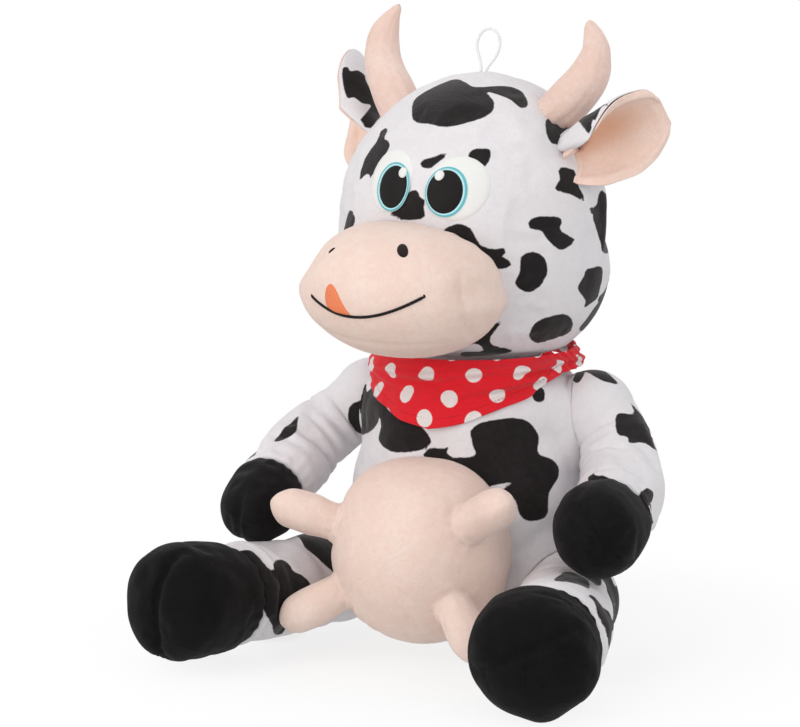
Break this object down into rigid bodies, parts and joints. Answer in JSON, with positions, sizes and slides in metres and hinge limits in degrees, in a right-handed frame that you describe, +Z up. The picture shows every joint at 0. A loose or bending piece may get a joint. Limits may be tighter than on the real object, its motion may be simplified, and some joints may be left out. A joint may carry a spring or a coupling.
{
  "type": "plush cow",
  "caption": "Sitting stuffed cow with a turning head, balls of fibre for shoulders and hips, round udder with bendable teats, curved horns, neck scarf and a hanging loop.",
  "frame": {"origin": "centre of the flat seat face under the torso, on the surface that the toy sits on", "axes": "+Z up, the cow faces -Y, and its left side is +X"},
  "size_m": [0.3234, 0.3827, 0.438],
  "materials": {
    "printed_plush": "short-pile white plush with printed black cow patches",
    "pink_plush": "short-pile pale pink plush",
    "black_velvet": "long-pile black velvet, crushed",
    "filling": "loose polyester fibre",
    "white_satin_stitch": "satin stitch",
    "blue_satin_stitch": "satin stitch",
    "black_satin_stitch": "satin stitch",
    "orange_satin_stitch": "satin stitch",
    "dotted_cotton": "woven cotton with pale dots",
    "white_cord": "thin braided cord"
  },
  "bodies": {
    "torso": {"torso_skin": "printed_plush", "torso_filling": "filling", "udder_skin": "pink_plush", "udder_filling": "filling", "bandana": "dotted_cotton", "bandana_knot": "dotted_cotton"},
    "neck": {"neck_filling": "filling"},
    "head": {"head_skin": "printed_plush", "head_filling": "filling", "muzzle_skin": "pink_plush", "muzzle_filling": "filling", "mouth_stitching": "black_satin_stitch", "tongue": "orange_satin_stitch", "eye_white_left": "white_satin_stitch", "eye_ring_left": "blue_satin_stitch", "eye_pupil_left": "black_satin_stitch", "eye_glint_left": "white_satin_stitch", "nostril_left": "black_satin_stitch", "horn_skin_left": "pink_plush", "horn_filling_left": "filling", "eye_white_right": "white_satin_stitch", "eye_ring_right": "blue_satin_stitch", "eye_pupil_right": "black_satin_stitch", "eye_glint_right": "white_satin_stitch", "nostril_right": "black_satin_stitch", "horn_skin_right": "pink_plush", "horn_filling_right": "filling"},
    "shoulder_left": {"shoulder_filling_left": "filling"},
    "arm_left": {"arm_sleeve_left": "printed_plush", "fore_hoof_left": "black_velvet", "arm_filling_left": "filling"},
    "shoulder_right": {"shoulder_filling_right": "filling"},
    "arm_right": {"arm_sleeve_right": "printed_plush", "fore_hoof_right": "black_velvet", "arm_filling_right": "filling"},
    "hip_left": {"hip_filling_left": "filling"},
    "leg_left": {"leg_sleeve_left": "printed_plush", "hind_hoof_left": "black_velvet", "leg_filling_left": "filling"},
    "hip_right": {"hip_filling_right": "filling"},
    "leg_right": {"leg_sleeve_right": "printed_plush", "hind_hoof_right": "black_velvet", "leg_filling_right": "filling"},
    "ear_left": {"ear_back_left": "printed_plush", "ear_lining_left": "pink_plush"},
    "ear_right": {"ear_back_right": "printed_plush", "ear_lining_right": "pink_plush"},
    "loop": {"hanging_loop": "white_cord"},
    "teat_upper_left": {"teat_skin_upper_left": "pink_plush", "teat_filling_upper_left": "filling"},
    "teat_upper_right": {"teat_skin_upper_right": "pink_plush", "teat_filling_upper_right": "filling"},
    "teat_lower_left": {"teat_skin_lower_left": "pink_plush", "teat_filling_lower_left": "filling"},
    "teat_lower_right": {"teat_skin_lower_right": "pink_plush", "teat_filling_lower_right": "filling"},
    "tail": {"tail_sleeve": "printed_plush", "tail_tuft": "black_velvet"}
  },
  "joints": [
    {"name": "head_turn", "type": "hinge", "parent": "torso", "child": "neck", "pos_m": [0, 0, 0.195], "axis": [0, 0, 1], "range_deg": [-35, 35], "stiffness_Nm_per_rad": 4},
    {"name": "head_nod", "type": "hinge", "parent": "neck", "child": "head", "pos_m": [0, 0, 0.195], "axis": [1, 0, 0], "range_deg": [-5, 2], "stiffness_Nm_per_rad": 6},
    {"name": "arm_raise_left", "type": "hinge", "parent": "torso", "child": "shoulder_left", "pos_m": [0.085, 0.006, 0.157], "axis": [-1, 0, 0], "range_deg": [0, 60], "stiffness_Nm_per_rad": 1.5},
    {"name": "arm_spread_left", "type": "hinge", "parent": "shoulder_left", "child": "arm_left", "pos_m": [0.085, 0.006, 0.157], "axis": [0, 0, 1], "range_deg": [0, 40], "stiffness_Nm_per_rad": 1.5},
    {"name": "arm_raise_right", "type": "hinge", "parent": "torso", "child": "shoulder_right", "pos_m": [-0.085, 0.006, 0.157], "axis": [-1, 0, 0], "range_deg": [0, 60], "stiffness_Nm_per_rad": 1.5},
    {"name": "arm_spread_right", "type": "hinge", "parent": "shoulder_right", "child": "arm_right", "pos_m": [-0.085, 0.006, 0.157], "axis": [0, 0, -1], "range_deg": [0, 40], "stiffness_Nm_per_rad": 1.5},
    {"name": "leg_swing_left", "type": "hinge", "parent": "torso", "child": "hip_left", "pos_m": [0.088, -0.046, 0.036], "axis": [-0.9759, -0.2181, 0], "range_deg": [-12, 1], "stiffness_Nm_per_rad": 2},
    {"name": "leg_spread_left", "type": "hinge", "parent": "hip_left", "child": "leg_left", "pos_m": [0.088, -0.046, 0.036], "axis": [0, 0, 1], "range_deg": [0, 14], "stiffness_Nm_per_rad": 2},
    {"name": "leg_swing_right", "type": "hinge", "parent": "torso", "child": "hip_right", "pos_m": [-0.088, -0.046, 0.036], "axis": [-0.9759, 0.2181, 0], "range_deg": [-12, 2], "stiffness_Nm_per_rad": 2},
    {"name": "leg_spread_right", "type": "hinge", "parent": "hip_right", "child": "leg_right", "pos_m": [-0.088, -0.046, 0.036], "axis": [0, 0, -1], "range_deg": [0, 7], "stiffness_Nm_per_rad": 2},
    {"name": "ear_flap_left", "type": "hinge", "parent": "head", "child": "ear_left", "pos_m": [0.08248, -0.02839, 0.33616], "axis": [0.2972, 0.492, -0.8183], "range_deg": [-12, 4], "stiffness_Nm_per_rad": 0.05},
    {"name": "ear_flap_right", "type": "hinge", "parent": "head", "child": "ear_right", "pos_m": [-0.07722, 0.00954, 0.33791], "axis": [0.4397, -0.7247, 0.5304], "range_deg": [-12, 4], "stiffness_Nm_per_rad": 0.05},
    {"name": "loop_flop", "type": "hinge", "parent": "head", "child": "loop", "pos_m": [0.01008, -0.00242, 0.38931], "axis": [0.9948, -0.0521, -0.0871], "range_deg": [-45, 45], "stiffness_Nm_per_rad": 0.002},
    {"name": "teat_bend_upper_left", "type": "hinge", "parent": "torso", "child": "teat_upper_left", "pos_m": [0.04212, -0.11359, 0.09559], "axis": [0.4997, 0.8662, 0], "range_deg": [-12, 12], "stiffness_Nm_per_rad": 0.1},
    {"name": "teat_bend_upper_right", "type": "hinge", "parent": "torso", "child": "teat_upper_right", "pos_m": [-0.04609, -0.11433, 0.08845], "axis": [0.4856, -0.8742, 0], "range_deg": [-12, 12], "stiffness_Nm_per_rad": 0.1},
    {"name": "teat_bend_lower_left", "type": "hinge", "parent": "torso", "child": "teat_lower_left", "pos_m": [0.03609, -0.12026, 0.04437], "axis": [0.6496, 0.7603, 0], "range_deg": [-12, 10], "stiffness_Nm_per_rad": 0.1},
    {"name": "teat_bend_lower_right", "type": "hinge", "parent": "torso", "child": "teat_lower_right", "pos_m": [-0.03904, -0.12053, 0.04764], "axis": [0.6332, -0.774, 0], "range_deg": [-6, 12], "stiffness_Nm_per_rad": 0.1},
    {"name": "tail_swing", "type": "hinge", "parent": "torso", "child": "tail", "pos_m": [0, 0.087, 0.05], "axis": [0, 0, 1], "range_deg": [-28, 28], "stiffness_Nm_per_rad": 0.05}
  ]
}
